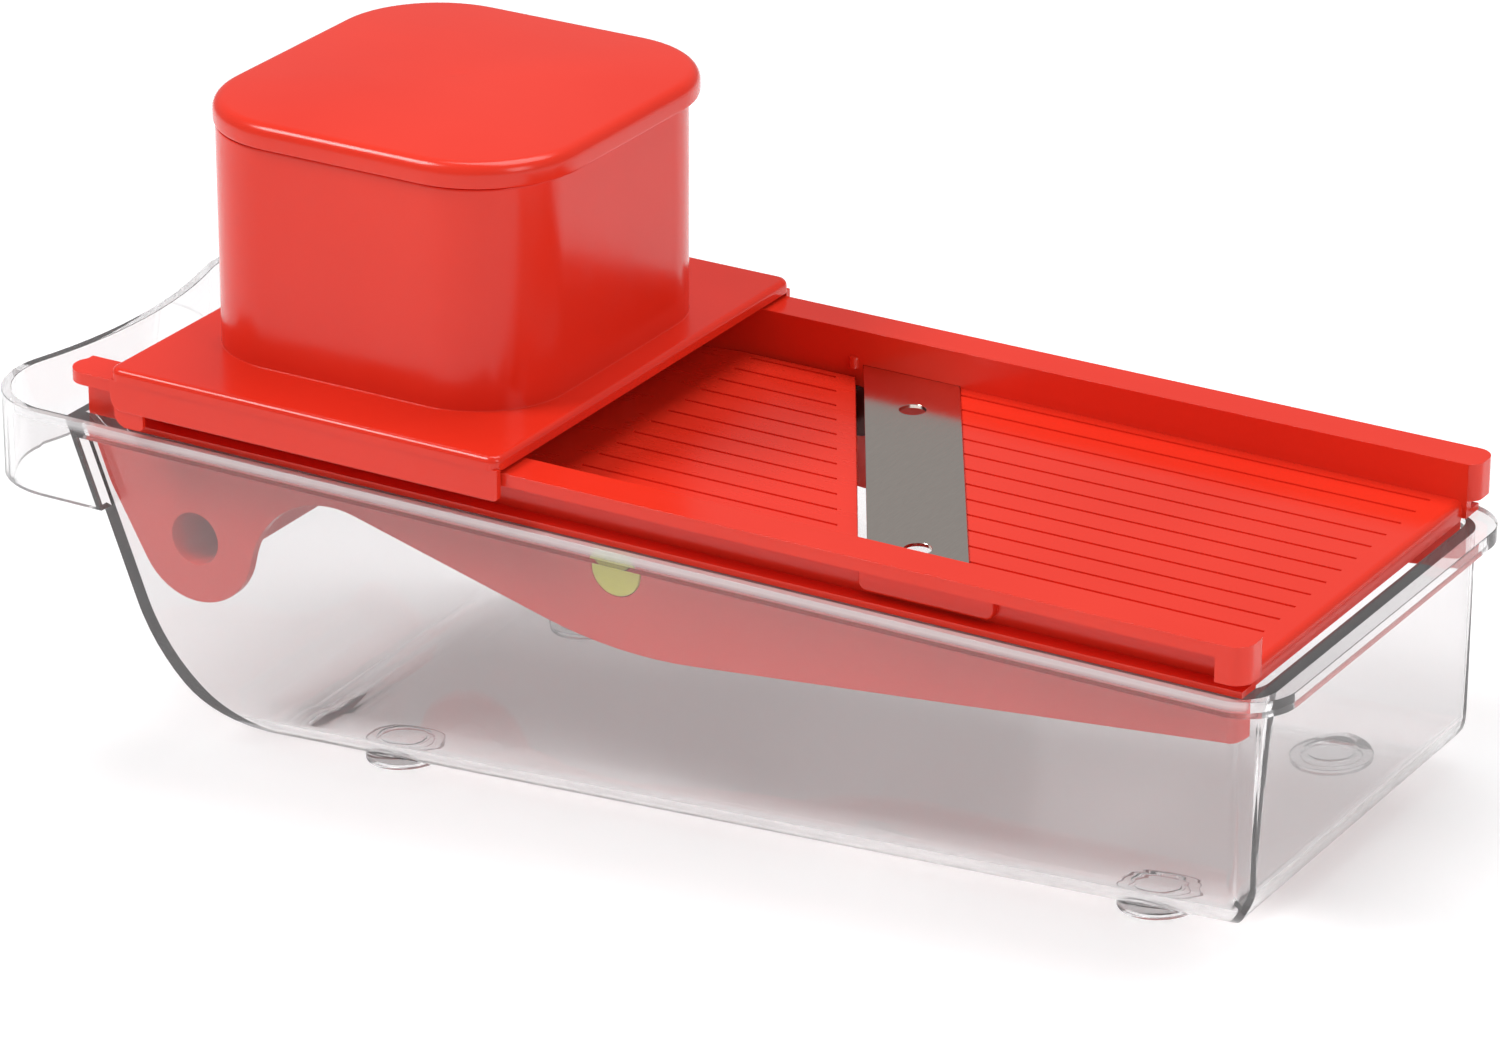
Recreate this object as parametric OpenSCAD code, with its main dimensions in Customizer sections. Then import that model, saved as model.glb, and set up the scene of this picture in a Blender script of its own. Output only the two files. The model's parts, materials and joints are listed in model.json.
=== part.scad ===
/* [Deck] */
// Angle between the slicing deck and the table, degrees
deck_tilt = 3.57; // [3.3:0.01:3.8]
// Half width over the two rail lips
half_w = 59; // [57:0.5:61]
// Right end of the frame walls, from the deck datum
frame_right = 161.8; // [159:0.1:164]
// Thickness of the rail lips
lip_t = 2.9; // [2.4:0.1:3.1]
// Width of each rail lip
lip_w = 9.6; // [9.2:0.1:9.8]
// Thickness of the frame side walls
wall_t = 2.2; // [2:0.1:2.3]
// Depth of the landing surface below the lip tops
landing_z = 8.5; // [8.4:0.05:8.6]
// Thickness of the landing and ramp plates
plate_t = 2.5; // [2.2:0.1:2.5]
// Distance between neighbouring grooves
groove_pitch = 7.1; // [6.9:0.05:7.2]
// Width of one groove
groove_w = 0.8; // [0.5:0.1:1]
// Depth of one groove
groove_d = 0.6; // [0.3:0.1:0.8]
// Radius of the hole in each grip lobe
lobe_hole_r = 6; // [4:0.5:7]

/* [Blade] */
// Angle of the blade from straight across, degrees
blade_angle = 30.1; // [29:0.1:31]
// Width of the blade strip across its edge
blade_w = 21; // [20:0.5:21.5]
// Thickness of the blade strip
blade_t = 0.8; // [0.6:0.1:0.9]
// Radius of the two blade holes
blade_hole_r = 3; // [2:0.1:3.2]
// Height of the ramp below the blade top
cut_gap = 2.8; // [2.8:0.05:3]

/* [Carriage] */
// Length of the carriage plate
carriage_len = 100; // [97:0.5:103]
// Outer length of the food sleeve
sleeve_x = 84.5; // [80:0.5:86]
// Outer width of the food sleeve
sleeve_y = 88; // [84:0.5:92]
// Outer corner radius of the food sleeve
sleeve_r = 21; // [16:0.5:26]
// Height of the sleeve top above the lip tops
sleeve_top = 54.2; // [48:0.1:58]
// How far the pusher cap overhangs the sleeve
cap_over = 2.1; // [1.5:0.1:3]
// Height of the cap edge
cap_h = 5.6; // [4.5:0.1:7]

/* [Container] */
// Depth of the container below the lip tops at the deck datum
tub_depth = 78.35; // [76:0.1:82]
// Wall thickness of the container
tub_t = 2.2; // [1.8:0.1:2.4]
// Height of the feet under the container floor
foot_h = 1.5; // [1:0.1:2]
// Length of the carrying loop beyond the end wall
loop_len = 26; // [22:0.5:30]
// Height of the carrying loop band
loop_h = 19.8; // [15:0.1:22]
// Depth of the hollow in the loop's end
loop_dent = 5.4; // [3:0.1:7]

/* [Hidden] */
$fn = 64;
red = [0.84, 0.16, 0.11];
clear = [0.86, 0.89, 0.9, 0.35];
steel = [0.62, 0.6, 0.58];
yellow = [0.85, 0.8, 0.35];

// ---- shared dimensions, deck frame: x along the rails, z up from the lip tops ----
wi = half_w - lip_w;            // inner face of the frame walls
wo = wi + wall_t;               // outer face of the frame walls
frame_left = -122.2;
rim_top = -12.5;
rim_h = 3.6;
tub_in = half_w - 6.7;          // inner half width of the container
tub_out = tub_in + tub_t;
rim_half = half_w - 1;
rim_right = frame_right + 7.7;
tub_right = frame_right + 3.2;
endwall_x = -125.3;             // outer face of the sloped end wall at the rim
loop_left = endwall_x - loop_len;
loop_r = 20;
bt = tan(blade_angle);
blade_dx = blade_w / cos(blade_angle);
blade_mid = 56.1;               // blade centre line at y = 0
blade_top = -8;
ramp_top = blade_top - cut_gap;
ramp_gap = 2;
ramp_y = wi - 0.8;
shaft_x = 13.7;
shaft_z = -19.2;
shaft_r = 6;
cam_e = 2.2;
cam_r = 3.6;
hinge_x = -104;
slope_x = -14;
slope_a = 4.5;
hinge_z = ramp_top + (hinge_x - slope_x) * tan(slope_a) - plate_t / 2;
car_x1 = -10;
car_x0 = car_x1 - carriage_len;
car_y = half_w + 2.2;
sleeve_cx = -59.5;
push_cx = sleeve_cx + 0.6;        // the pusher sits a little off centre in the sleeve
push_cy = 0.9;
top_z = 3.8;
ct = cos(deck_tilt);
st = sin(deck_tilt);
tx = -((loop_left * ct + (rim_top - loop_h) * st) + (rim_right * ct + rim_top * st)) / 2;
tz = tub_depth + foot_h;

module deck() translate([tx, 0, tz]) rotate([0, deck_tilt, 0]) children();
// extrude an XZ outline along Y, from y0 to y1
module along_y(y0, y1) translate([0, y1, 0]) rotate([90, 0, 0]) linear_extrude(y1 - y0) children();

// point of a convex corner c with unit edge directions a and b, tangent circle r
function unit(v) = v / norm(v);
function half_ang(a, b) = acos(min(1, max(-1, a * b))) / 2;
function fil_o(c, a, b, r) = c + unit(a + b) * r / sin(half_ang(a, b));
function fil_t(c, a, b, r) = r / tan(half_ang(a, b));
module corner_cut(c, p, q, r) {
    a = unit(p - c);
    b = unit(q - c);
    o = fil_o(c, a, b, r);
    t = fil_t(c, a, b, r);
    e = unit(c - o) * 0.4;
    difference() {
        polygon([c + e, c + a * t + e * 0.0, o, c + b * t]);
        translate(o) circle(r = r, $fn = 96);
    }
}
module rrect(cx, cy, sx, sy, r) {
    translate([cx, cy]) {
        square([sx - 2 * r, sy], center = true);
        square([sx, sy - 2 * r], center = true);
        for (i = [-1, 1], j = [-1, 1]) translate([i * (sx / 2 - r), j * (sy / 2 - r)]) circle(r = r);
    }
}

// ---------------------------------------------------------------- container
lw_a = 17.4;                     // lean of the end wall under the loop, from vertical
rw_a = 5.2;                      // lean of the far end wall
pl = [endwall_x * ct - 12 * st + tx, -endwall_x * st - 12 * ct + tz];
pr = [tub_right * ct - 16 * st + tx, -tub_right * st - 16 * ct + tz];
// side outline of the tub, inset by k from the outer skin
function tub_l(z, k) = pl[0] + (pl[1] - z) * tan(lw_a) + k / cos(lw_a);
function tub_r(z, k) = pr[0] - (pr[1] - z) * tan(rw_a) - k / cos(rw_a);
module tub_side(k, top) {
    z0 = foot_h + k;
    p0 = [tub_l(z0, k), z0];
    p1 = [tub_r(z0, k), z0];
    p2 = [tub_r(top, k), top];
    p3 = [tub_l(top, k), top];
    difference() {
        polygon([p0, p1, p2, p3]);
        corner_cut(p0, p3, p1, 45 - k);
        corner_cut(p1, p0, p2, 13 - k);
    }
}
module tub_cross(k, top) {
    z0 = foot_h + k - 0.06;
    hb = tub_out - k - 0.6;
    ht = tub_out - k + 0.2;
    p0 = [-hb, z0];
    p1 = [hb, z0];
    p2 = [ht, top];
    p3 = [-ht, top];
    difference() {
        polygon([p0, p1, p2, p3]);
        corner_cut(p0, p3, p1, 13.5 - k);
        corner_cut(p1, p0, p2, 13.5 - k);
    }
}
module tub_body(k, top) {
    intersection() {
        deck() translate([0, 0, -110]) linear_extrude(110 + rim_top + top)
            rrect((tub_right - k - 150) / 2, 0, tub_right - k + 150, 2 * (tub_out - k), 9 - k);
        along_y(-70, 70) tub_side(k, 120);
        translate([-180, 0, 0]) rotate([90, 0, 90]) linear_extrude(380) tub_cross(k, 123);
    }
}
// plan of the rim and loop, inset by k
module rim_plan(k) {
    h = rim_half - k;
    x0 = loop_left + k;
    r = loop_r - k;
    xr = rim_right - k;
    rr = 12 - k;
    m = h - r;
    d = loop_dent;
    // dent circle tangent to both corner circles
    q = r - d;
    rho = (q * q + m * m - r * r) / (2 * (r - q));
    cx = x0 + d - rho;
    o = [x0 + r, m];
    u = unit([cx, 0] - o);
    tp = o + u * r;
    difference() {
        union() {
            polygon([[x0 + r, m], [tp[0], tp[1]], [tp[0], -tp[1]], [x0 + r, -m]]);
            translate([x0 + r, -h]) square([xr - rr - x0 - r, 2 * h]);
            translate([x0 + r, -h + rr]) square([xr - x0 - r, 2 * h - 2 * rr]);
            for (j = [-1, 1]) {
                translate([x0 + r, j * m]) circle(r = r);
                translate([xr - rr, j * (h - rr)]) circle(r = rr);
            }
        }
        translate([cx, 0]) circle(r = rho, $fn = 180);
    }
}
// region to the left of the sloped end wall, k inside its outer face
module left_of_wall(k) along_y(-80, 80)
    polygon([[-260, -20], [tub_l(-20, k), -20], [tub_l(130, k), 130], [-260, 130]]);
module container() color(clear) difference() {
    union() {
        tub_body(0, 0);
        deck() translate([0, 0, rim_top - rim_h]) linear_extrude(rim_h) rim_plan(0);
        intersection() {
            deck() translate([0, 0, rim_top - loop_h]) linear_extrude(loop_h) rim_plan(0);
            left_of_wall(tub_t);
        }
    }
    tub_body(tub_t, 20);
    intersection() {
        deck() translate([0, 0, -60]) linear_extrude(80) rim_plan(tub_t);
        left_of_wall(0);
    }
    // shallow moulded ring on the floor above each foot
    for (x = foot_x, j = [-1, 1]) translate([x, j * foot_y, foot_h + tub_t - 0.4]) difference() {
        cylinder(r = 6.2, h = 2);
        translate([0, 0, -1]) cylinder(r = 5.2, h = 4);
    }
}
foot_x = [-62, 124];
foot_y = 38.5;
module foot(x, y) color(clear) difference() {
    translate([x, y, 0]) cylinder(r = 9, h = 5);
    tub_body(0, 0);
    translate([x, y, -1]) cylinder(r = 6.5, h = 1.6);
}
module foot_near_left() foot(foot_x[0], -foot_y);
module foot_near_right() foot(foot_x[1], -foot_y);
module foot_far_left() foot(foot_x[0], foot_y);
module foot_far_right() foot(foot_x[1], foot_y);

// ---------------------------------------------------------------- frame
lobe = [-94.3, -36.3];
lobe_r = 15;
arch = [-57.9, -43];
arch_r = norm(arch - lobe) - lobe_r;
skirt_a = 14.7;
sill_a = 5.76;
module skirt_outline() {
    p = [frame_left, -17.5];
    v = p - lobe;
    an = atan2(v[1], v[0]) + acos(lobe_r / norm(v));
    tl = lobe + lobe_r * [cos(an), sin(an)];
    s = lobe + unit(arch - lobe) * lobe_r;
    tq = arch + arch_r * [sin(skirt_a), cos(skirt_a)];
    // lines: down from tq, up to the right through the sill point
    m1 = -tan(skirt_a);
    m2 = tan(sill_a);
    sp = [34.3, -37];
    kx = (sp[1] - tq[1] + m1 * tq[0] - m2 * sp[0]) / (m1 - m2);
    kp = [kx, tq[1] + m1 * (kx - tq[0])];
    ep = [frame_right, sp[1] + m2 * (frame_right - sp[0])];
    difference() {
        union() {
            polygon([[frame_left, 0], p, tl, lobe, s, arch, tq, kp, ep, [frame_right, 0]]);
            translate(lobe) circle(r = lobe_r);
        }
        translate(arch) circle(r = arch_r, $fn = 96);
        corner_cut(kp, tq, ep, 105);
        corner_cut(ep, kp, [frame_right, 0], 5);
        translate(lobe) circle(r = lobe_hole_r);
    }
}
// plan of one rail lip on the +y side
module lip_plan() {
    r = lip_w / 2;
    difference() {
        union() {
            translate([frame_left - 1 + r, wi]) square([frame_right + 2.2 - frame_left + 1 - r, lip_w]);
            translate([frame_left - 1 + r, wi + r]) circle(r = r);
        }
        corner_cut([frame_right + 2.2, half_w], [0, half_w], [frame_right + 2.2, 0], 4);
        corner_cut([frame_right + 2.2, wi], [0, wi], [frame_right + 2.2, half_w], 3);
    }
}
// plan of the block that closes the right end of one rail and stops the carriage
module end_plan() difference() {
    translate([frame_right - 4.6, wi]) square([6.8, lip_w]);
    corner_cut([frame_right + 2.2, half_w], [0, half_w], [frame_right + 2.2, 0], 4);
    corner_cut([frame_right + 2.2, wi], [0, wi], [frame_right + 2.2, half_w], 3);
}
// oblique strip between two offsets from the blade centre line, measured along x
module oblique(a, b, y) polygon([
    [blade_mid + a + bt * y, -y], [blade_mid + b + bt * y, -y],
    [blade_mid + b - bt * y, y], [blade_mid + a - bt * y, y]]);
module slicer_frame() color(red) difference() {
    frame_body();
    // left ends follow the slope of the container's end wall
    left_of_wall(tub_t + 0.6);
}
module frame_body() deck() difference() {
    union() {
        for (j = [0, 1]) mirror([0, j, 0]) {
            along_y(wi, wo) skirt_outline();
            translate([0, 0, -lip_t]) linear_extrude(lip_t) lip_plan();
            translate([0, 0, -8.4]) linear_extrude(8.3) end_plan();
            // ledge that rests on the container rim
            translate([frame_left + 12, wo - 0.2, rim_top + 0.1]) cube([frame_right - frame_left - 12, half_w - 3.4 - wo + 0.2, 1.4]);
        }
        // landing plate with its turned-down end and the shelf under the blade
        intersection() {
            translate([0, -wi - 0.2, -landing_z - plate_t]) cube([frame_right - 1, 2 * wi + 0.4, plate_t]);
            translate([0, 0, -30]) linear_extrude(40) oblique(blade_dx / 2 - 7, 200, wi + 1);
        }
        translate([frame_right - 4, -wi - 0.2, -landing_z - 4.4]) cube([3, 2 * wi + 0.4, 4.4]);
        // stiffening rib under the landing, parallel to the blade
        translate([0, 0, -landing_z - 9]) linear_extrude(7) oblique(blade_dx / 2 - 3, blade_dx / 2 - 0.6, wi + 0.1);
        // end wall behind the ramp hinge and the two cross walls of the grip
        translate([frame_left, -wi - 0.2, -19]) cube([2.2, 2 * wi + 0.4, 9]);
        translate([frame_left, 0, -17.5]) rotate([0, -28.6, 0]) translate([0, -wi - 0.2, -26]) cube([2.2, 2 * wi + 0.4, 26]);
        translate([-81.8, -wi - 0.2, -35]) cube([2.2, 2 * wi + 0.4, 14]);
        // tube that joins the two grip lobes
        along_y(-wi - 0.2, wi + 0.2) translate(lobe) circle(r = lobe_hole_r + 1.2);
        // stops above the two ramp corners
        translate([ramp_x(wi) - 0.4, wi + 0.2, -9]) cylinder(r = 1.2, h = 2.6, $fn = 32);
        translate([ramp_x(-wi) - 0.9, -wi - 0.2, -8.1]) cylinder(r = 1.2, h = 2.6, $fn = 32);
    }
    along_y(-wo - 1, wo + 1) translate(lobe) circle(r = lobe_hole_r);
    // blade recess in the landing and the end slots in both walls
    translate([0, 0, blade_top - blade_t - 0.05]) linear_extrude(blade_t + 4) oblique(-blade_dx / 2 - 0.15, blade_dx / 2 + 0.2, wi);
    translate([0, 0, blade_top - blade_t - 0.05]) linear_extrude(blade_t + 0.1) oblique(-blade_dx / 2 - 0.15, blade_dx / 2 + 0.15, wi + 20);
    // landing grooves
    for (k = [0 : 6], j = [-1, 1]) if ((k + 0.5) * groove_pitch < wi - 1)
        translate([0, 0, -landing_z - groove_d]) linear_extrude(groove_d + 3) intersection() {
            translate([0, j * (k + 0.5) * groove_pitch - groove_w / 2]) square([frame_right - 7, groove_w]);
            oblique(blade_dx / 2 - 0.5, 260, wi + 1);
        }
    // wall ends below the rim follow the inner corners of the container
    translate([0, 0, -60]) linear_extrude(60 + rim_top + 0.05) difference() {
        translate([frame_right - 20, -80]) square([60, 160]);
        rrect((tub_right - tub_t - 0.6 - 150) / 2, 0, tub_right - tub_t - 0.6 + 150, 2 * (tub_in - 0.4), 7);
    }
    // through bores for the thickness shaft and blind bores for the ramp trunnions
    translate([shaft_x, 0, shaft_z]) rotate([90, 0, 0]) cylinder(r = shaft_r + 0.06, h = 160, center = true);
    translate([hinge_x, 0, hinge_z]) rotate([90, 0, 0]) cylinder(r = 2.06, h = 2 * wi + 3.2, center = true, $fn = 48);
}

// ---------------------------------------------------------------- blade and its retainers
module blade() color(steel) deck() difference() {
    translate([0, 0, blade_top - blade_t]) linear_extrude(blade_t) oblique(-blade_dx / 2, blade_dx / 2, wo);
    for (j = [-1, 1]) translate([blade_mid - j * 32.5 * bt, j * 32.5, -20]) cylinder(r = blade_hole_r, h = 20);
    // ground bevel under the cutting edge
    translate([blade_mid - blade_dx / 2, 0, blade_top - 0.12]) rotate([0, 0, blade_angle])
        rotate([0, 14, 0]) translate([-2, -80, -6]) cube([10, 160, 6]);
}
module retainer(x0) translate([x0, wo, 0]) difference() {
    translate([0, 0, -9.8]) cube([31.6, 2, 9.8 - lip_t]);
    for (p = [0, 31.6]) translate([p, -1, -9.8]) rotate([-90, 0, 0]) difference() {
        translate([-2, -2, 0]) cube([4, 4, 4]);
        translate([p == 0 ? 2 : -2, -2, -1]) cylinder(r = 2, h = 6, $fn = 32);
    }
}
module blade_retainer_near() color(red) deck() mirror([0, 1, 0]) retainer(72.6);
module blade_retainer_far() color(red) deck() retainer(11.6);

// ---------------------------------------------------------------- ramp
function ramp_x(y) = blade_mid - blade_dx / 2 - ramp_gap - bt * y;
module ramp_outline() {
    t = plate_t;
    zl = ramp_top + (hinge_x - 3 - slope_x) * tan(slope_a);
    polygon([[90, ramp_top], [slope_x, ramp_top], [hinge_x - 3, zl], [hinge_x - 3, zl - t], [slope_x, ramp_top - t], [90, ramp_top - t]]);
}
module ramp() color(red) deck() difference() {
    union() {
        intersection() {
            along_y(-ramp_y, ramp_y) ramp_outline();
            translate([0, 0, -40]) linear_extrude(40) oblique(-260, -blade_dx / 2 - ramp_gap, wi);
        }
        // trunnions at the hinge end, and the followers that ride on the shaft's cam
        translate([hinge_x, 0, hinge_z]) rotate([90, 0, 0]) cylinder(r = 2, h = 2 * wi + 2.8, center = true, $fn = 48);
        for (y = [-36, -12, 12, 36]) translate([5.5, y - 1.5, shaft_z + cam_r + 0.3]) cube([14.5, 3, ramp_top - plate_t - shaft_z - cam_r + 0.2]);
        // stiffening ribs along the underside
        for (y = [-24, 24]) translate([-10, y - 1, ramp_top - plate_t - 2]) cube([12, 2, 2.3]);
    }
    // grooves along the flat part
    for (k = [0 : 6], j = [-1, 1]) if ((k + 0.5) * groove_pitch < ramp_y - 1)
        translate([0, 0, ramp_top - groove_d]) linear_extrude(groove_d + 3) intersection() {
            translate([slope_x + 2, j * (k + 0.5) * groove_pitch - groove_w / 2]) square([100, groove_w]);
            oblique(-260, -blade_dx / 2 - ramp_gap - 5, wi + 1);
        }
}

// ---------------------------------------------------------------- thickness shaft
module thickness_shaft() color(yellow) deck() translate([shaft_x, 0, shaft_z]) rotate([90, 0, 0]) {
    translate([0, 0, wi - 0.1]) cylinder(r = shaft_r, h = wo + 0.1 - wi + 0.1);
    translate([-cam_e, 0, -(wi - 3)]) cylinder(r = cam_r, h = 2 * wi - 3);
    // square stub that carries the dial
    translate([-cam_e - 2, -2, -(wi + 1)]) cube([4, 4, 6]);
}
module thickness_dial() color(yellow) deck() translate([shaft_x, 0, shaft_z]) rotate([-90, 0, 0]) difference() {
    translate([0, 0, wi - 0.1]) cylinder(r = shaft_r, h = wo + 0.1 - wi + 0.1);
    translate([-cam_e - 2, -2, wi - 2]) cube([4, 4, 3]);
    translate([-4.5, -0.6, wo - 0.7]) cube([9, 1.2, 2]);
}

// ---------------------------------------------------------------- carriage
module sleeve_plan(k) rrect(sleeve_cx, 0, sleeve_x - 2 * k, sleeve_y - 2 * k, sleeve_r - k);
module side_skirt(x0, x1, r0, r1) {
    translate([x0, r0 - 6.1]) square([x1 - x0, 7.2 - r0]);
    translate([x0 + r0, -6.1]) square([x1 - x0 - r0 - r1, r0 + 0.1]);
    translate([x1 - r0, r1 - 6.1]) square([r0, r0]);
    translate([x0 + r0, r0 - 6.1]) circle(r = r0);
    translate([x1 - r1, r1 - 6.1]) circle(r = r1);
}
module carriage() color(red) deck() difference() {
    union() {
        // plate with its thin edge step
        translate([0, 0, 0.8]) linear_extrude(top_z - 0.8) rrect((car_x0 + car_x1) / 2, 0, carriage_len, 2 * car_y, 3);
        for (j = [0, 1]) mirror([0, j, 0]) {
            // side skirt
            along_y(half_w + 0.4, half_w + 1.9) side_skirt(car_x0 + 0.3, car_x1 - 0.3, 3, 1.2);
            // runner on the lip and hook rail below it
            translate([car_x0 + 2, wi + 4.6, 0.08]) cube([carriage_len - 4, 2.4, 1]);
            translate([car_x0 + 2, half_w - 2.2, -lip_t - 2.4]) cube([carriage_len - 4, 3, 1.8]);
            // end hook
            along_y(half_w + 0.4, half_w + 1.4) hull() {
                translate([car_x0 + 1, -6]) square([7.5, 1]);
                translate([car_x0 + 4, -6.8]) circle(r = 3);
                translate([car_x0 + 7.3, -8.6]) circle(r = 1.2);
            }
        }
        // food sleeve
        translate([0, 0, 0.8]) linear_extrude(sleeve_top - 0.8) sleeve_plan(0);
    }
    translate([0, 0, -20]) linear_extrude(100) sleeve_plan(2);
}

// ---------------------------------------------------------------- pusher
cap_z = sleeve_top + 0.3;
module pusher_cap() color(red) deck() difference() {
    union() {
        translate([0, 0, cap_z]) linear_extrude(cap_h - 1.6) rrect(push_cx, push_cy, sleeve_x + 2 * cap_over, sleeve_y + 2 * cap_over, sleeve_r + cap_over + 1.5);
        translate([0, 0, cap_z + cap_h - 1.8]) linear_extrude(1.8) rrect(push_cx, push_cy, sleeve_x + 2 * cap_over - 2.4, sleeve_y + 2 * cap_over - 2.4, sleeve_r + cap_over + 0.3);
        // shallow crown on the top
        intersection() {
            translate([push_cx, push_cy, cap_z + cap_h + 1.3 - 700]) rotate([90, 0, 0]) cylinder(r = 700, h = 120, center = true, $fn = 720);
            translate([push_cx, push_cy, cap_z + cap_h + 1.5 - 650]) rotate([0, 90, 0]) cylinder(r = 650, h = 120, center = true, $fn = 720);
            translate([0, 0, cap_z + cap_h - 0.6]) linear_extrude(3) rrect(push_cx, push_cy, sleeve_x + 2 * cap_over - 8, sleeve_y + 2 * cap_over - 8, sleeve_r + cap_over - 2.5);
        }
    }
    // hollow underside
    translate([0, 0, cap_z - 1]) linear_extrude(cap_h - 1.6) rrect(push_cx, push_cy, sleeve_x - 6.6, sleeve_y - 6.6, sleeve_r - 3.3);
}
plunger_z = 2;
module pusher_plunger() color(red) deck() difference() {
    translate([0, 0, plunger_z]) linear_extrude(cap_z + cap_h - 2.6 - plunger_z) rrect(push_cx, push_cy, sleeve_x - 7, sleeve_y - 7, sleeve_r - 3.5);
    translate([0, 0, plunger_z + 2.5]) linear_extrude(80) rrect(push_cx, push_cy, sleeve_x - 11, sleeve_y - 11, sleeve_r - 5.5);
    for (x = spike_x, y = spike_y) translate([x, y, plunger_z - 1]) cylinder(r = 0.8, h = 5, $fn = 24);
}
spike_x = [push_cx - 26, push_cx, push_cx + 26];
spike_y = [push_cy - 26, push_cy, push_cy + 26];
module grip_spikes() color(steel) deck() for (x = spike_x, y = spike_y) {
    translate([x, y, plunger_z - 5]) cylinder(r = 0.8, h = 8.5, $fn = 24);
    translate([x, y, plunger_z - 7.5]) cylinder(r1 = 0.1, r2 = 0.8, h = 2.5, $fn = 24);
}

container();
foot_near_left();
foot_near_right();
foot_far_left();
foot_far_right();
slicer_frame();
blade();
blade_retainer_near();
blade_retainer_far();
ramp();
thickness_shaft();
thickness_dial();
carriage();
pusher_cap();
pusher_plunger();
grip_spikes();
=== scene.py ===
import math
import json
import bpy
import bmesh
from mathutils import Matrix, Vector


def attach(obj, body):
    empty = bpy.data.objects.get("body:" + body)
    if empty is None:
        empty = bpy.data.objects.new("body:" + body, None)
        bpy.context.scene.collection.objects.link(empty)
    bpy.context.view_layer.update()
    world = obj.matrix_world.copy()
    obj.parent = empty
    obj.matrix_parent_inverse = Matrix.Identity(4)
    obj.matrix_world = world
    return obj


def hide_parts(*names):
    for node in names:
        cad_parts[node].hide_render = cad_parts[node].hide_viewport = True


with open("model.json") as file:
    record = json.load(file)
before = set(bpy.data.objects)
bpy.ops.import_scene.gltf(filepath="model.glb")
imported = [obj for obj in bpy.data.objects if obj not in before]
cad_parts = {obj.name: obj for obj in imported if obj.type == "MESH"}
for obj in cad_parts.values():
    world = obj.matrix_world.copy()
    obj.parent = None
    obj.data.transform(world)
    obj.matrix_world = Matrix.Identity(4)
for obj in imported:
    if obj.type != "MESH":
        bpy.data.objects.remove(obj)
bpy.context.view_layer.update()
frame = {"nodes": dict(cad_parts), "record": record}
nodes = frame["nodes"]
body_of_node = {n: b for b, ns in frame["record"]["behaviour"]["bodies"].items() for n in ns}

# ------------------------------------------------------------------ frames
# Deck frame D in mm: x along the rails, z up from the lip tops. It is tilted
# by TILT about Y against the table. W is the row frame in metres.
TILT = math.radians(3.57)
CT, ST = math.cos(TILT), math.sin(TILT)
TX, TZ = -7.687539, 79.85
D2W = Matrix(((CT * 1e-3, 0, ST * 1e-3, TX * 1e-3),
              (0, 1e-3, 0, 0),
              (-ST * 1e-3, 0, CT * 1e-3, TZ * 1e-3),
              (0, 0, 0, 1)))
W2D = D2W.inverted()
MM = Matrix.Scale(1e-3, 4)
WI, WO, HALF = 49.4, 51.6, 59.0
RIM = -12.5


# ------------------------------------------------------------------ meshes
def close_mesh(bm, name, mat, smooth=32.0):
    me = bpy.data.meshes.new(name)
    bmesh.ops.recalc_face_normals(bm, faces=bm.faces)
    lim = math.radians(smooth)
    for f in bm.faces:
        f.smooth = True
    for e in bm.edges:
        if len(e.link_faces) == 2:
            e.smooth = e.calc_face_angle(0.0) < lim
    bm.to_mesh(me)
    bm.free()
    ob = bpy.data.objects.new(name, me)
    bpy.context.scene.collection.objects.link(ob)
    me.materials.append(mat)
    m = ob.modifiers.new("normals", "WEIGHTED_NORMAL")
    m.keep_sharp = True
    m.weight = 80
    return ob


def place(ob, node):
    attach(ob, body_of_node[node])
    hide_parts(node)
    return ob


def near(v, t, tol=0.03):
    return abs(v - t) < tol


def refined(node, rounds, to_d=True, flat=0.35):
    """A working copy of a CAD node: welded, flat faces joined, and the edges
    that each selector picks rounded to a radius in mm."""
    bm = bmesh.new()
    bm.from_mesh(nodes[node].data)
    bmesh.ops.remove_doubles(bm, verts=bm.verts, dist=2e-5)
    bmesh.ops.transform(bm, matrix=W2D if to_d else MM.inverted(), verts=bm.verts)
    bmesh.ops.dissolve_limit(bm, angle_limit=math.radians(flat), verts=bm.verts, edges=bm.edges)
    for pick, radius, segs in rounds:
        chosen = []
        for e in bm.edges:
            if len(e.link_faces) == 2 and e.calc_face_angle(0.0) > math.radians(25):
                if pick(e.verts[0].co, e.verts[1].co):
                    chosen.append(e)
        if chosen:
            bmesh.ops.bevel(bm, geom=chosen, offset=radius, offset_type="OFFSET", segments=segs,
                            profile=0.5, affect="EDGES", clamp_overlap=True)
            bmesh.ops.remove_doubles(bm, verts=bm.verts, dist=2e-3)
    bmesh.ops.transform(bm, matrix=D2W if to_d else MM, verts=bm.verts)
    return bm


def rr(cx, cy, sx, sy, r, n=12):
    """Rounded rectangle outline, 4 * (n + 1) points, anticlockwise."""
    r = max(r, 0.05)
    pts = []
    for q, (i, j) in enumerate(((1, 1), (-1, 1), (-1, -1), (1, -1))):
        ox, oy = cx + i * (sx / 2 - r), cy + j * (sy / 2 - r)
        for k in range(n + 1):
            a = math.radians(90 * (q + k / n))
            pts.append((ox + r * math.cos(a), oy + r * math.sin(a)))
    return pts


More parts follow.
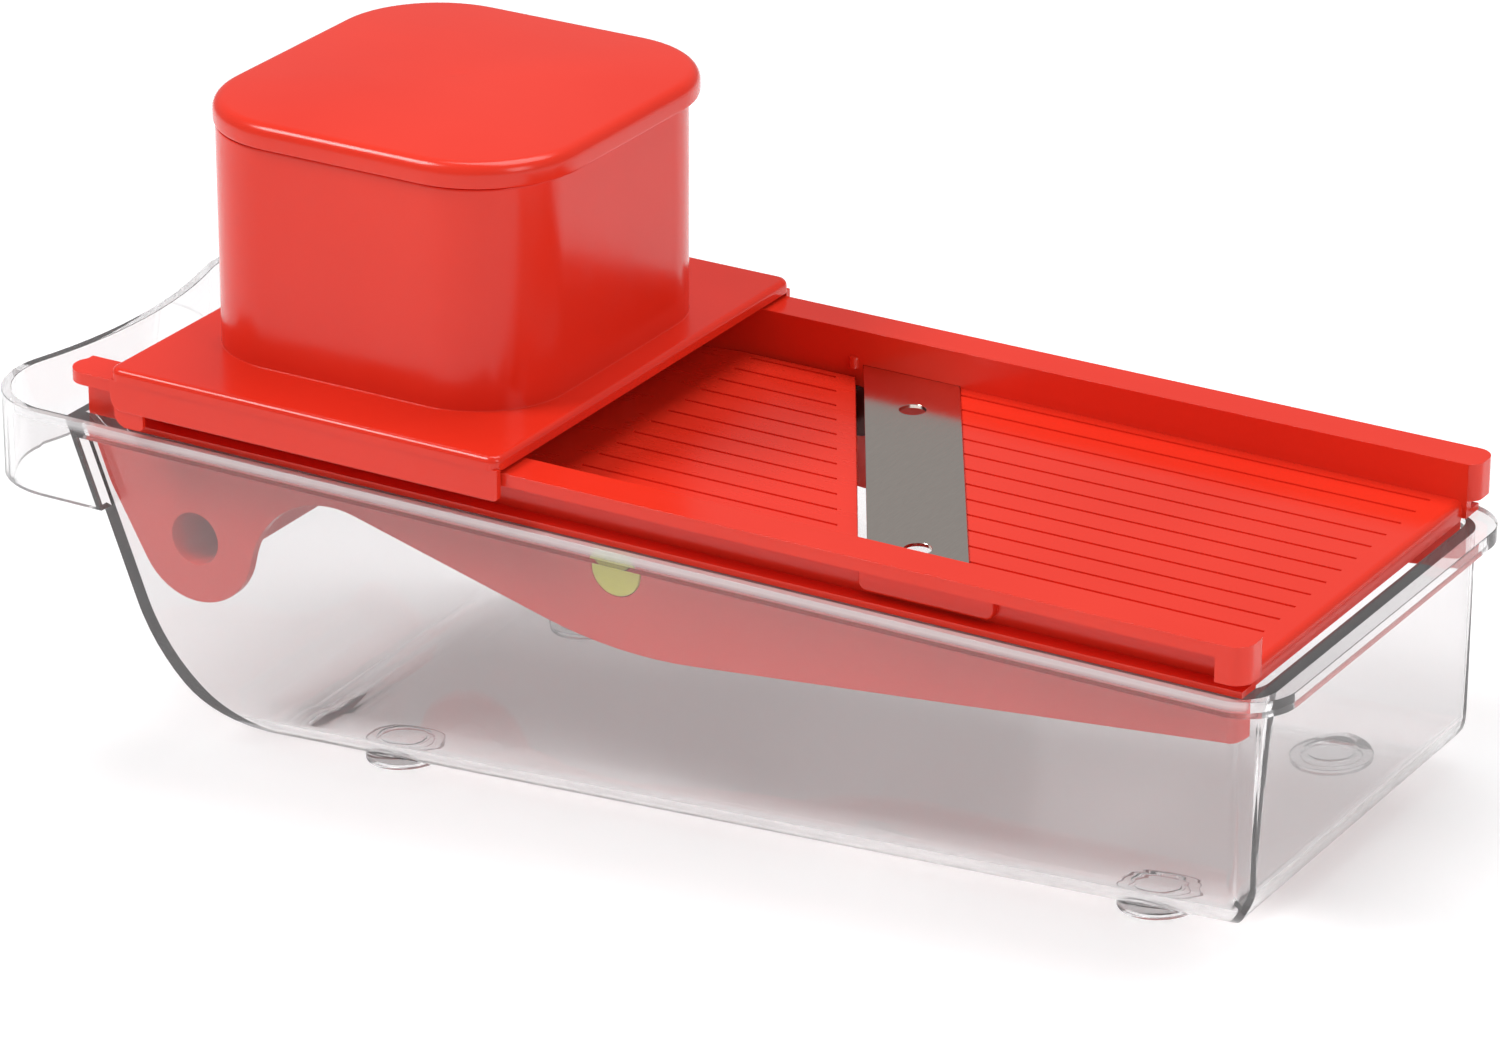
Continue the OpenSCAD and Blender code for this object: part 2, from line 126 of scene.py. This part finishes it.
def loft(bm, rings, wrap=False, cap0=False, cap1=False):
    """Skins rings of 3-D points, all with the same count."""
    vs = [[bm.verts.new(p) for p in ring] for ring in rings]
    n = len(rings[0])
    pairs = list(zip(vs[:-1], vs[1:]))
    if wrap:
        pairs.append((vs[-1], vs[0]))
    for a, b in pairs:
        for i in range(n):
            k = (i + 1) % n
            bm.faces.new((a[i], a[k], b[k], b[i]))
    if cap0:
        bm.faces.new(list(reversed(vs[0])))
    if cap1:
        bm.faces.new(vs[-1])
    return vs


def arc(c, r, a0, a1, n):
    """n + 1 points (inset, z) on a quarter-like arc, angles in degrees."""
    return [(c[0] + r * math.cos(math.radians(a0 + (a1 - a0) * k / n)),
             c[1] + r * math.sin(math.radians(a0 + (a1 - a0) * k / n))) for k in range(n + 1)]


# ------------------------------------------------------------------ materials
def srgb(r, g, b):
    f = lambda v: (v / 255 / 12.92) if v / 255 <= 0.04045 else ((v / 255 + 0.055) / 1.055) ** 2.4
    return (f(r), f(g), f(b), 1.0)


def new_mat(name):
    m = bpy.data.materials.new(name)
    m.use_nodes = True
    nt = m.node_tree
    bsdf = nt.nodes["Principled BSDF"]
    co = nt.nodes.new("ShaderNodeTexCoord")
    return m, nt, bsdf, co


def noise(nt, co, scale, detail=3.0, rough=0.5, stretch=None, rot=None):
    src = co.outputs["Object"]
    if stretch:
        mp = nt.nodes.new("ShaderNodeMapping")
        mp.inputs["Scale"].default_value = stretch
        if rot:
            mp.inputs["Rotation"].default_value = rot
        nt.links.new(src, mp.inputs["Vector"])
        src = mp.outputs["Vector"]
    n = nt.nodes.new("ShaderNodeTexNoise")
    n.inputs["Scale"].default_value = scale
    n.inputs["Detail"].default_value = detail
    n.inputs["Roughness"].default_value = rough
    nt.links.new(src, n.inputs["Vector"])
    return n.outputs["Fac"]


def ramp_to(nt, fac, lo, hi, a, b):
    r = nt.nodes.new("ShaderNodeMapRange")
    r.inputs["From Min"].default_value = lo
    r.inputs["From Max"].default_value = hi
    r.inputs["To Min"].default_value = a
    r.inputs["To Max"].default_value = b
    nt.links.new(fac, r.inputs["Value"])
    return r.outputs["Result"]


def two_tone(nt, fac, c0, c1):
    r = nt.nodes.new("ShaderNodeValToRGB")
    r.color_ramp.elements[0].position = 0.35
    r.color_ramp.elements[1].position = 0.65
    r.color_ramp.elements[0].color = c0
    r.color_ramp.elements[1].color = c1
    nt.links.new(fac, r.inputs["Fac"])
    return r.outputs["Color"]


def bump(nt, bsdf, layers):
    last = None
    for fac, strength, dist in layers:
        b = nt.nodes.new("ShaderNodeBump")
        b.inputs["Strength"].default_value = strength
        b.inputs["Distance"].default_value = dist
        nt.links.new(fac, b.inputs["Height"])
        if last is not None:
            nt.links.new(last, b.inputs["Normal"])
        last = b.outputs["Normal"]
    nt.links.new(last, bsdf.inputs["Normal"])


def red_plastic(name, c0, c1, rough=(0.16, 0.24), grain=0.04):
    m, nt, p, co = new_mat(name)
    tone = noise(nt, co, 14, 3)
    nt.links.new(two_tone(nt, tone, c0, c1), p.inputs["Base Color"])
    flow = noise(nt, co, 60, 4, 0.6, stretch=(1, 3, 2))
    nt.links.new(ramp_to(nt, flow, 0.3, 0.7, rough[0], rough[1]), p.inputs["Roughness"])
    bump(nt, p, [(noise(nt, co, 45, 2), 0.05, 0.0004), (noise(nt, co, 2600, 2), grain, 0.00003)])
    p.inputs["IOR"].default_value = 1.49
    p.inputs["Specular IOR Level"].default_value = 0.4
    p.inputs["Subsurface Weight"].default_value = 0.0
    return m


def clear_plastic(name, tint, rough=(0.0, 0.03), lamp=0.94, wave=0.05, clear=1.0):
    m, nt, p, co = new_mat(name)
    tone = noise(nt, co, 9, 2)
    nt.links.new(two_tone(nt, tone, tint, tuple(min(1, v * 1.01) for v in tint[:3]) + (1,)), p.inputs["Base Color"])
    nt.links.new(ramp_to(nt, noise(nt, co, 40, 3), 0.35, 0.65, rough[0], rough[1]), p.inputs["Roughness"])
    bump(nt, p, [(noise(nt, co, 16, 2), wave, 0.0006)])
    p.inputs["IOR"].default_value = 1.5
    p.inputs["Transmission Weight"].default_value = clear
    out = nt.nodes["Material Output"]
    path = nt.nodes.new("ShaderNodeLightPath")
    pane = nt.nodes.new("ShaderNodeBsdfTransparent")
    pane.inputs["Color"].default_value = (lamp, lamp, lamp, 1)
    mix = nt.nodes.new("ShaderNodeMixShader")
    nt.links.new(path.outputs["Is Shadow Ray"], mix.inputs[0])
    nt.links.new(p.outputs["BSDF"], mix.inputs[1])
    nt.links.new(pane.outputs["BSDF"], mix.inputs[2])
    nt.links.new(mix.outputs[0], out.inputs["Surface"])
    return m


def steel(name, c0, c1, rough, turn):
    m, nt, p, co = new_mat(name)
    fine = noise(nt, co, 260, 4, 0.6, stretch=(24, 1, 24), rot=(0, 0, turn))
    nt.links.new(two_tone(nt, fine, c0, c1), p.inputs["Base Color"])
    nt.links.new(ramp_to(nt, fine, 0.3, 0.7, rough[0], rough[1]), p.inputs["Roughness"])
    bump(nt, p, [(fine, 0.02, 0.00002)])
    p.inputs["Metallic"].default_value = 1.0
    return m


RED = red_plastic("red_gloss_plastic", (0.78, 0.030, 0.012, 1), (0.83, 0.036, 0.015, 1))
RED_DECK = red_plastic("red_satin_plastic", (0.78, 0.030, 0.012, 1), (0.83, 0.036, 0.015, 1), (0.24, 0.34), 0.10)
CLEAR = clear_plastic("clear_moulded_plastic", (0.905, 0.897, 0.90, 1), lamp=0.88, clear=0.955)
PAD = clear_plastic("clear_soft_pad", (0.95, 0.955, 0.96, 1), (0.03, 0.08), 0.92, 0.02)
STEEL = steel("ground_stainless_steel", (0.80, 0.71, 0.635, 1), (0.85, 0.76, 0.68, 1), (0.12, 0.18), math.radians(-30))
PIN = steel("drawn_steel_pin", (0.60, 0.59, 0.57, 1), (0.68, 0.67, 0.65, 1), (0.2, 0.3), 0)
YELLOW = red_plastic("yellow_satin_plastic", (0.76, 0.72, 0.10, 1), (0.82, 0.77, 0.13, 1), (0.3, 0.42), 0.08)


def band_mask(nt, co, normal, lo, hi):
    """0 to 1 across a slab of the row frame, measured along a fixed direction in metres."""
    d = nt.nodes.new("ShaderNodeVectorMath")
    d.operation = "DOT_PRODUCT"
    d.inputs[1].default_value = normal
    nt.links.new(co.outputs["Object"], d.inputs[0])
    r = nt.nodes.new("ShaderNodeMapRange")
    r.inputs["From Min"].default_value = lo
    r.inputs["From Max"].default_value = hi
    nt.links.new(d.outputs["Value"], r.inputs["Value"])
    return r.outputs["Result"]


def product(nt, a, b):
    m = nt.nodes.new("ShaderNodeMath")
    m.operation = "MULTIPLY"
    nt.links.new(a, m.inputs[0])
    nt.links.new(b, m.inputs[1])
    return m.outputs["Value"]


# painted shade: the eccentric between the walls is coloured dark red-brown to stand in for the shade under the ramp,
# only the ends are yellow
nt = YELLOW.node_tree
co = nt.nodes["Texture Coordinate"]
p = nt.nodes["Principled BSDF"]
painted_shade_band = product(nt, band_mask(nt, co, (0, 1, 0), -0.0506, -0.0505), band_mask(nt, co, (0, -1, 0), -0.0506, -0.0505))
tint = nt.nodes.new("ShaderNodeMix")
tint.data_type = "RGBA"
nt.links.new(painted_shade_band, tint.inputs[0])
nt.links.new(p.inputs["Base Color"].links[0].from_socket, tint.inputs[6])
# dark red-brown painted shade for the middle of the shaft
tint.inputs[7].default_value = (0.10, 0.010, 0.006, 1)
nt.links.new(tint.outputs[2], p.inputs["Base Color"])

# painted highlight: along the near side the bead of the container rim has its transmission lowered, so it reads as a
# bright whitish line
nt = CLEAR.node_tree
co = nt.nodes["Texture Coordinate"]
p = nt.nodes["Principled BSDF"]
up_d = (ST, 0, CT)
z_rim = TX * 1e-3 * ST + TZ * 1e-3 * CT + RIM * 1e-3
painted_highlight_band = product(nt, band_mask(nt, co, up_d, z_rim - 0.0026, z_rim - 0.0010), band_mask(nt, co, (0, -1, 0), 0.0560, 0.0566))
# transmission drops from 0.955 to 0.42 in the band, a painted highlight
nt.links.new(ramp_to(nt, painted_highlight_band, 0.0, 1.0, 0.955, 0.42), p.inputs["Transmission Weight"])

# ------------------------------------------------------------------ frame of the slicer
LT = -2.9


def on(v, *pairs):
    return all(near(getattr(v, a), t) for a, t in pairs)


bm = refined("slicer_frame", [
    (lambda a, b: near(a.z, 0) and near(b.z, 0), 1.9, 6),
    (lambda a, b: near(a.z, LT) and near(b.z, LT) and min(abs(a.y), abs(b.y)) > WO + 0.3, 0.9, 3),
    (lambda a, b: near(a.z, -8.4) and near(b.z, -8.4) and min(abs(a.y), abs(b.y)) > WO + 0.3, 0.9, 3),
    (lambda a, b: near(a.z, -8.5) and near(b.z, -8.5) and near(a.x, 160.8, 0.1) and near(b.x, 160.8, 0.1), 1.8, 4),
    (lambda a, b: near(abs(a.y), WO) and near(abs(b.y), WO) and max(a.z, b.z) < -12.6 and min(a.z, b.z) > -60, 0.45, 2),
])
place(close_mesh(bm, "frame_shell", RED), "slicer_frame")

# ------------------------------------------------------------------ retainers
for node, side in (("blade_retainer_near", -1), ("blade_retainer_far", 1)):
    bm = refined(node, [(lambda a, b: near(abs(a.y), WO + 2) and near(abs(b.y), WO + 2), 0.55, 3)])
    place(close_mesh(bm, node + "_boss", RED), node)

# ------------------------------------------------------------------ blade
bm = refined("blade", [(lambda a, b: near(a.z, -8) and near(b.z, -8), 0.06, 1)])
place(close_mesh(bm, "blade_strip", STEEL, 20), "blade")

# ------------------------------------------------------------------ ramp
bm = refined("ramp", [(lambda a, b: near(a.z, -10.8) and near(b.z, -10.8) and (abs(a.y) > 48 or abs(b.y) > 48), 0.4, 2)])
place(close_mesh(bm, "ramp_plate", RED_DECK), "ramp")

# ------------------------------------------------------------------ adjuster
for node in ("thickness_shaft", "thickness_dial"):
    bm = refined(node, [(lambda a, b: near(abs(a.y), WO + 0.1) and near(abs(b.y), WO + 0.1) and
                         (a.xz - Vector((13.7, -19.2))).length > 5.7, 0.4, 2)])
    place(close_mesh(bm, node + "_end", YELLOW), node)

# ------------------------------------------------------------------ carriage
bm = refined("carriage", [
    (lambda a, b: near(a.z, 3.8) and near(b.z, 3.8) and (abs(a.y) > 58 or a.x > -14 or a.x < -106.5), 1.5, 5),
    (lambda a, b: near(a.z, 54.2) and near(b.z, 54.2), 0.6, 2),
    (lambda a, b: near(a.z, 3.8) and near(b.z, 3.8), 0.5, 2),
    (lambda a, b: near(abs(a.y), 60.9) and near(abs(b.y), 60.9) and max(a.z, b.z) < 0.7, 0.6, 3),
    (lambda a, b: near(abs(a.y), 60.4) and near(abs(b.y), 60.4) and max(a.z, b.z) < -6.05, 0.35, 2),
])
place(close_mesh(bm, "carriage_body", RED), "carriage")

# ------------------------------------------------------------------ pusher cap
bm = bmesh.new()
SC, SD = -58.9, 0.9
CX, CY, CR = 88.7, 92.2, 24.6
prof = [(4.7, 57.5), (4.7, 55.1), (4.4, 54.6), (3.9, 54.5), (0.8, 54.5), (0.2, 54.7), (0.0, 55.2), (0.0, 57.3)]
prof += [(2.7 - 2.7 * math.cos(math.radians(t)), 57.4 + 2.72 * math.sin(math.radians(t))) for t in range(12, 91, 13)]
rings = [[(x, y, z) for x, y in rr(SC, SD, CX - 2 * k, CY - 2 * k, CR - k, 14)] for k, z in prof]
edge = rr(SC, SD, CX - 2 * 2.7, CY - 2 * 2.7, CR - 2.7, 14)
top_z = 57.4 + 2.72
for s in (0.985, 0.96, 0.92, 0.86, 0.78, 0.68, 0.56, 0.43, 0.30, 0.17, 0.06, 0.022):
    rings.append([(SC + (x - SC) * s, SD + (y - SD) * s, top_z + 1.25 * (1 - s ** 2.4) - (0.12 if s < 0.03 else 0)) for x, y in edge])
loft(bm, rings, cap0=True, cap1=True)
bmesh.ops.transform(bm, matrix=D2W, verts=bm.verts)
place(close_mesh(bm, "cap_shell", RED, 40), "pusher_cap")

# ------------------------------------------------------------------ plunger and pins
bm = refined("pusher_plunger", [(lambda a, b: near(a.z, 2) and near(b.z, 2), 0.8, 3)])
place(close_mesh(bm, "plunger_shell", RED), "pusher_plunger")
bm = refined("grip_spikes", [])
place(close_mesh(bm, "grip_pins", PIN), "grip_spikes")

# ------------------------------------------------------------------ container and pads
def left_edge(y0, y1):
    """The long edge between a side wall and the sloped end wall, under the loop band."""
    def pick(a, b):
        return all(y0 - 9 < abs(v.y) < y1 and v.z < -32.25 and v.x < -70 for v in (a, b)) and \
            (abs(a.y) > y0 or abs(b.y) > y0 or min(a.z, b.z) < -66) and abs(abs(a.y) - abs(b.y)) < 3.2
    return pick


def outline(v):
    """On the outer outline of the rim and loop."""
    return abs(v.y) > 57.9 or v.x > 158 or v.x < -128


bm = refined("container", [
    (left_edge(53.2, 54.45), 3.6, 5),
    (left_edge(51.2, 52.3), 1.8, 4),
    (lambda a, b: near(a.z, RIM) and near(b.z, RIM) and outline(a) and outline(b), 1.5, 5),
    (lambda a, b: near(a.z, RIM - 3.6) and near(b.z, RIM - 3.6) and outline(a) and outline(b) and
        min(a.x, b.x) > -121.5 and (abs(a.y) > 57.9 or a.x > 166.5) and (abs(b.y) > 57.9 or b.x > 166.5), 1.5, 5),
    (lambda a, b: near(a.z, RIM - 19.8, 0.06) and near(b.z, RIM - 19.8, 0.06) and max(a.x, b.x) < -123, 0.8, 2),
])
bad = [e for e in bm.edges if len(e.link_faces) != 2]
print("container open edges", len(bad), "volume mm3", bm.calc_volume() * 1e9)
place(close_mesh(bm, "container_shell", CLEAR), "container")
for f in ("foot_near_left", "foot_near_right", "foot_far_left", "foot_far_right"):
    bm = refined(f, [(lambda a, b: near(a.z, 0) and near(b.z, 0), 0.4, 2)], to_d=False)
    place(close_mesh(bm, f + "_pad", PAD), f)

# ------------------------------------------------------------------ floor, light, camera
bm = bmesh.new()
for x, y in ((-6, -6), (6, -6), (6, 6), (-6, 6)):
    bm.verts.new((x, y, -0.0002))
bm.faces.new(bm.verts)
floor_mat, nt, p, co = new_mat("pale_floor")
nt.links.new(two_tone(nt, noise(nt, co, 2, 2), (0.86, 0.86, 0.862, 1), (0.87, 0.87, 0.872, 1)), p.inputs["Base Color"])
p.inputs["Roughness"].default_value = 0.6
p.inputs["Emission Color"].default_value = (1.0, 1.0, 1.0, 1)
p.inputs["Emission Strength"].default_value = 0.24
p.inputs["Specular IOR Level"].default_value = 0.2
me = bpy.data.meshes.new("floor")
bm.to_mesh(me)
bm.free()
floor = bpy.data.objects.new("floor", me)
me.materials.append(floor_mat)
bpy.context.scene.collection.objects.link(floor)

world = bpy.data.worlds.new("studio")
bpy.context.scene.world = world
world.use_nodes = True
world.node_tree.nodes["Background"].inputs["Color"].default_value = (0.98, 0.985, 1.0, 1)
world.node_tree.nodes["Background"].inputs["Strength"].default_value = 0.31


def area(name, loc, aim, size, power, colour=(1, 1, 1)):
    l = bpy.data.lights.new(name, "AREA")
    l.shape = "RECTANGLE"
    l.size, l.size_y = size
    l.energy = power
    l.color = colour
    ob = bpy.data.objects.new(name, l)
    bpy.context.scene.collection.objects.link(ob)
    ob.location = loc
    ob.rotation_mode = "QUATERNION"
    ob.rotation_quaternion = (Vector(aim) - Vector(loc)).to_track_quat("-Z", "Y")
    return ob


area("key", (-0.85, -0.7, 1.6), (0, 0, 0.05), (0.6, 0.6), 17)
area("top", (0.1, 0.5, 1.6), (0, 0, 0.05), (1.2, 0.9), 14)
area("side", (1.5, -0.5, 0.9), (0, 0, 0.05), (0.6, 0.9), 6.5)

cam_data = bpy.data.cameras.new("camera")
cam = bpy.data.objects.new("camera", cam_data)
bpy.context.scene.collection.objects.link(cam)
bpy.context.scene.camera = cam
cam_data.sensor_width = 36.0
cam_data.lens = 161.129
cam_data.clip_start, cam_data.clip_end = 0.05, 50
rot = Matrix(((CT, 0, ST), (0, 1, 0), (-ST, 0, CT)))
right = rot @ Vector((0.86088672, 0.50878991, 0.00262362))
up = rot @ Vector((-0.20470302, 0.34163324, 0.91726954))
back = -(rot @ Vector((-0.46580117, 0.79020223, -0.39825835)))
place_at = Vector((0.7173273, -1.1478130, 0.5872481))
cam.matrix_world = Matrix((
    (right.x, up.x, back.x, place_at.x),
    (right.y, up.y, back.y, place_at.y),
    (right.z, up.z, back.z, place_at.z),
    (0, 0, 0, 1)))
bpy.context.scene.cycles.max_bounces = 20
bpy.context.scene.cycles.transmission_bounces = 18
bpy.context.scene.view_settings.view_transform = "Standard"
bpy.context.scene.view_settings.look = "None"
